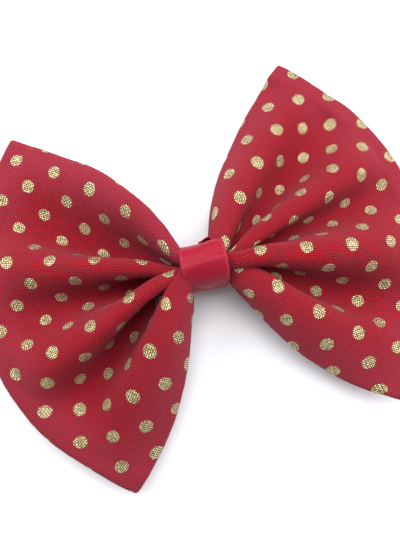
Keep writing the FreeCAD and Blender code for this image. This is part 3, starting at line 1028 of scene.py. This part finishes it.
# ---------------------------------------------------------------------------
# What rides on what
# ---------------------------------------------------------------------------
RIDES = (
    (front_cloth, "front_panel", "printed_cotton"),
    (back_cloth, "back_panel", "printed_cotton"),
    (interfacing_sheet, "interfacing", "interfacing"),
    (edge_seam_stitches, "edge_seam_thread", "red_thread"),
    (ribbon_wrap, "centre_ribbon", "satin_ribbon"),
    (ribbon_lap, "centre_ribbon", "satin_ribbon"),
    (ribbon_fold, "centre_ribbon", "satin_ribbon"),
    (stitches, "ribbon_stitches", "red_thread"),
    (gather_thread_wound, "gather_thread", "red_thread"),
)
for piece, node, slot in RIDES:
    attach(piece, "bow")
    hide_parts(node)
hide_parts("clip_spring")
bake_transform(spring)

# ---------------------------------------------------------------------------
# Floor, light and camera
# ---------------------------------------------------------------------------
FLOOR_HALF = 1500.0
LIGHT_DISTANCE = 190.0
LIGHT_SIZE = 120.0
AIM_Z = 10.0                 # the lights point at the middle of the bow, this high up
WORLD_STRENGTH = 0.45


def floor():
    """A plain pale floor, which is stage and no part of the object."""
    r = Recipe("floor")
    place = r.node("TexCoord").outputs["Object"]
    tone = r.blend(r.noise(place, 6.0, 2), (0.80, 0.795, 0.825, 1), (0.83, 0.825, 0.855, 1))
    size = FLOOR_HALF
    corners = [(-size, -size, 0), (size, -size, 0), (size, size, 0), (-size, size, 0)]
    material = r.finish(Base_Color=tone, Roughness=0.7)
    make_mesh("floor", corners, [(0, 1, 2, 3)], material)


def area_light(name, azimuth, elevation, power):
    """A soft square light, aimed at the middle of the bow; azimuth is from +X towards +Y."""
    az, el = math.radians(azimuth), math.radians(elevation)
    way = Vector((math.cos(el) * math.cos(az), math.cos(el) * math.sin(az), math.sin(el)))
    data = bpy.data.lights.new(name, "AREA")
    data.shape = "SQUARE"
    data.size = LIGHT_SIZE * MM
    data.energy = power
    light = bpy.data.objects.new(name, data)
    light.location = (way * LIGHT_DISTANCE + Vector((0, 0, AIM_Z))) * MM
    light.rotation_euler = (-way).to_track_quat("-Z", "Y").to_euler()
    light.visible_camera = False
    bpy.context.scene.collection.objects.link(light)


def world(strength):
    """A plain pale room."""
    made = bpy.data.worlds.new("studio")
    made.use_nodes = True
    tree = made.node_tree
    back = tree.nodes["Background"]
    back.inputs["Color"].default_value = (0.97, 0.97, 1.0, 1)
    back.inputs["Strength"].default_value = strength
    bpy.context.scene.world = made


# From the same fit as the wings, but for the target's Y, which is given, and the lens, an estimate
CAMERA_AZIMUTH = -20.9
CAMERA_ELEVATION = 78.5
CAMERA_ROLL = 3.5
CAMERA_DISTANCE = 92.7
CAMERA_TARGET = (-1.5, -1.0, 12.0)
CAMERA_LENS = 29.1
SENSOR_WIDTH = 36.0
CLIP_NEAR, CLIP_FAR = 0.005, 10          # in metres


def camera():
    """The photo's view: from nearly straight above, turned and rolled a little."""
    az, el, roll = (math.radians(a) for a in (CAMERA_AZIMUTH, CAMERA_ELEVATION, CAMERA_ROLL))
    back = Vector((math.sin(az) * math.cos(el), -math.cos(az) * math.cos(el), math.sin(el)))
    right = Vector((math.cos(az), math.sin(az), 0))
    up = back.cross(right)
    c, s = math.cos(roll), math.sin(roll)
    right, up = right * c + up * s, up * c - right * s
    data = bpy.data.cameras.new("camera")
    data.lens = CAMERA_LENS
    data.sensor_width = SENSOR_WIDTH
    data.clip_start, data.clip_end = CLIP_NEAR, CLIP_FAR
    made = bpy.data.objects.new("camera", data)
    place = (Vector(CAMERA_TARGET) + back * CAMERA_DISTANCE) * MM
    matrix = made.matrix_world.copy()
    for row in range(3):
        matrix[row] = (right[row], up[row], back[row], place[row])
    made.matrix_world = matrix
    bpy.context.scene.collection.objects.link(made)
    bpy.context.scene.camera = made


floor()
world(WORLD_STRENGTH)
# The powers began as a least-squares mix against the photo's brightness and were changed afterwards
area_light("upper_left", 142, 35, 0.31)
area_light("upper_right", 25, 36, 0.24)
area_light("lower_right", 335, 36, 0.16)
area_light("top", 85, 74, 0.26)
camera()
bpy.context.scene.view_settings.view_transform = "Standard"
